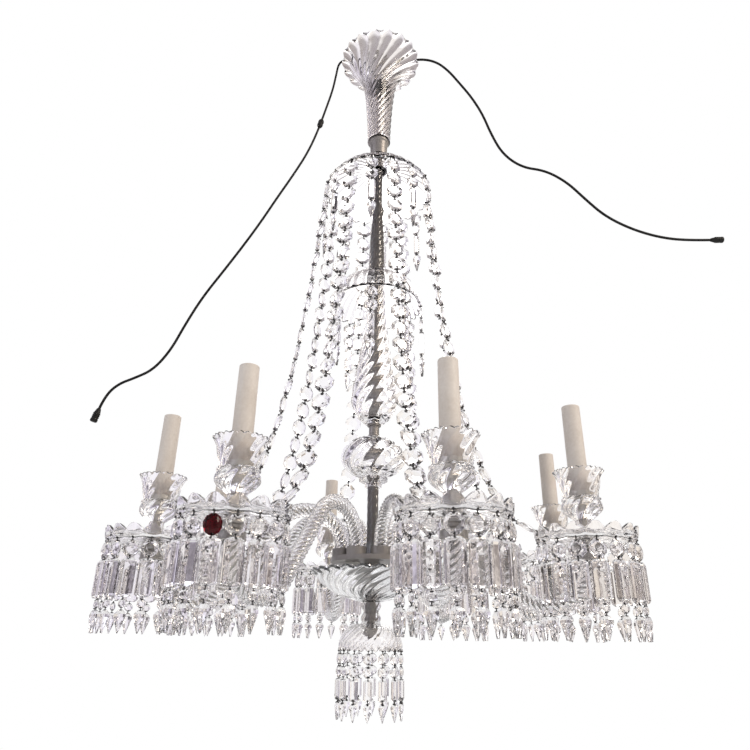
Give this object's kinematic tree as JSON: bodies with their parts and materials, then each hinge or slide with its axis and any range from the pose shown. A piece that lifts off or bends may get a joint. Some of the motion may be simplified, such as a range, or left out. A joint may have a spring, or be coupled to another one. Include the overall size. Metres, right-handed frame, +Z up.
{
  "type": "crystal chandelier",
  "caption": "Crystal chandelier on a glass column: S-shaped glass arms with cups and candle sleeves, drip pans with cut drops, crystal chains, fluted canopy, two supply leads.",
  "frame": {"origin": "centre of the hanging eye's bore, on the upright axis of the column, just above the canopy", "axes": "+Z up along the column; -Y towards the viewer of the picture; +X to the right; the eye's bore runs along Y"},
  "size_m": [1.1498, 0.756, 1.318],
  "materials": {
    "blown_crystal": "polished clear lead crystal, twist fluted",
    "cut_crystal": "polished clear lead crystal, flat cut facets",
    "dark_red_crystal": "polished deep red crystal",
    "grey_metal": "satin taupe grey",
    "candle_cream": "matt cream",
    "lead_black": "satin black",
    "connector_black": "matt black",
    "cable_white": "satin",
    "terminal_white": "matt"
  },
  "bodies": {
    "frame": {"hanging_eye": "grey_metal", "central_rod": "grey_metal", "rod_cable": "cable_white", "cord_grip": "connector_black", "canopy": "blown_crystal", "canopy_collar": "grey_metal", "upper_dish": "blown_crystal", "upper_column": "blown_crystal", "middle_dish": "blown_crystal", "vase": "blown_crystal", "ball_collar": "grey_metal", "ball": "blown_crystal", "ball_dish": "blown_crystal", "lower_column": "blown_crystal", "arm_plate": "grey_metal", "terminal_block": "terminal_white", "receiver_bowl": "blown_crystal", "bowl_neck": "blown_crystal", "bottom_dish": "blown_crystal", "bottom_nut": "grey_metal", "arm_ferrules": "grey_metal", "drip_pans": "blown_crystal", "candle_cups": "blown_crystal", "lamp_holders": "grey_metal", "upper_dish_drops": "cut_crystal", "middle_dish_drops": "cut_crystal", "bottom_dish_drops": "cut_crystal", "pan_octagons": "cut_crystal", "pan_prisms": "cut_crystal", "pan_beads": "cut_crystal", "pan_spears": "cut_crystal", "red_crystal": "dark_red_crystal", "arm_1": "blown_crystal", "arm_2": "blown_crystal", "arm_3": "blown_crystal", "arm_4": "blown_crystal", "arm_5": "blown_crystal", "arm_6": "blown_crystal", "arm_7": "blown_crystal", "arm_8": "blown_crystal", "arm_cables": "cable_white", "left_lead": "lead_black", "right_lead": "lead_black", "lead_connectors": "connector_black"},
    "sleeve_1": {"candle_sleeve_1": "candle_cream"},
    "sleeve_2": {"candle_sleeve_2": "candle_cream"},
    "sleeve_3": {"candle_sleeve_3": "candle_cream"},
    "sleeve_4": {"candle_sleeve_4": "candle_cream"},
    "sleeve_5": {"candle_sleeve_5": "candle_cream"},
    "sleeve_6": {"candle_sleeve_6": "candle_cream"},
    "sleeve_7": {"candle_sleeve_7": "candle_cream"},
    "sleeve_8": {"candle_sleeve_8": "candle_cream"},
    "chain_1": {"chain_1": "cut_crystal"},
    "chain_2": {"chain_2": "cut_crystal"},
    "chain_3": {"chain_3": "cut_crystal"},
    "chain_4": {"chain_4": "cut_crystal"},
    "chain_5": {"chain_5": "cut_crystal"},
    "chain_6": {"chain_6": "cut_crystal"},
    "chain_7": {"chain_7": "cut_crystal"},
    "chain_8": {"chain_8": "cut_crystal"}
  },
  "joints": [
    {"name": "sleeve_1_lift", "type": "slide", "parent": "frame", "child": "sleeve_1", "axis": [0, 0, 1], "range_m": [0, 0.125]},
    {"name": "sleeve_2_lift", "type": "slide", "parent": "frame", "child": "sleeve_2", "axis": [0, 0, 1], "range_m": [0, 0.125]},
    {"name": "sleeve_3_lift", "type": "slide", "parent": "frame", "child": "sleeve_3", "axis": [0, 0, 1], "range_m": [0, 0.125]},
    {"name": "sleeve_4_lift", "type": "slide", "parent": "frame", "child": "sleeve_4", "axis": [0, 0, 1], "range_m": [0, 0.125]},
    {"name": "sleeve_5_lift", "type": "slide", "parent": "frame", "child": "sleeve_5", "axis": [0, 0, 1], "range_m": [0, 0.125]},
    {"name": "sleeve_6_lift", "type": "slide", "parent": "frame", "child": "sleeve_6", "axis": [0, 0, 1], "range_m": [0, 0.125]},
    {"name": "sleeve_7_lift", "type": "slide", "parent": "frame", "child": "sleeve_7", "axis": [0, 0, 1], "range_m": [0, 0.125]},
    {"name": "sleeve_8_lift", "type": "slide", "parent": "frame", "child": "sleeve_8", "axis": [0, 0, 1], "range_m": [0, 0.125]},
    {"name": "chain_1_swing", "type": "hinge", "parent": "frame", "child": "chain_1", "pos_m": [0.02804, -0.09911, -0.38015], "axis": [0.0601, -0.2124, -0.9753], "range_deg": [-8, 8]},
    {"name": "chain_2_swing", "type": "hinge", "parent": "frame", "child": "chain_2", "pos_m": [0.08991, -0.05025, -0.38015], "axis": [0.1927, -0.1077, -0.9753], "range_deg": [-8, 8]},
    {"name": "chain_3_swing", "type": "hinge", "parent": "frame", "child": "chain_3", "pos_m": [0.09911, 0.02804, -0.38015], "axis": [0.2124, 0.0601, -0.9753], "range_deg": [-8, 8]},
    {"name": "chain_4_swing", "type": "hinge", "parent": "frame", "child": "chain_4", "pos_m": [0.05025, 0.08991, -0.38015], "axis": [0.1077, 0.1927, -0.9753], "range_deg": [-8, 8]},
    {"name": "chain_5_swing", "type": "hinge", "parent": "frame", "child": "chain_5", "pos_m": [-0.02804, 0.09911, -0.38015], "axis": [-0.0601, 0.2124, -0.9753], "range_deg": [-8, 8]},
    {"name": "chain_6_swing", "type": "hinge", "parent": "frame", "child": "chain_6", "pos_m": [-0.08991, 0.05025, -0.38015], "axis": [-0.1927, 0.1077, -0.9753], "range_deg": [-8, 8]},
    {"name": "chain_7_swing", "type": "hinge", "parent": "frame", "child": "chain_7", "pos_m": [-0.09911, -0.02804, -0.38015], "axis": [-0.2124, -0.0601, -0.9753], "range_deg": [-8, 8]},
    {"name": "chain_8_swing", "type": "hinge", "parent": "frame", "child": "chain_8", "pos_m": [-0.05025, -0.08991, -0.38015], "axis": [-0.1077, -0.1927, -0.9753], "range_deg": [-8, 8]}
  ]
}
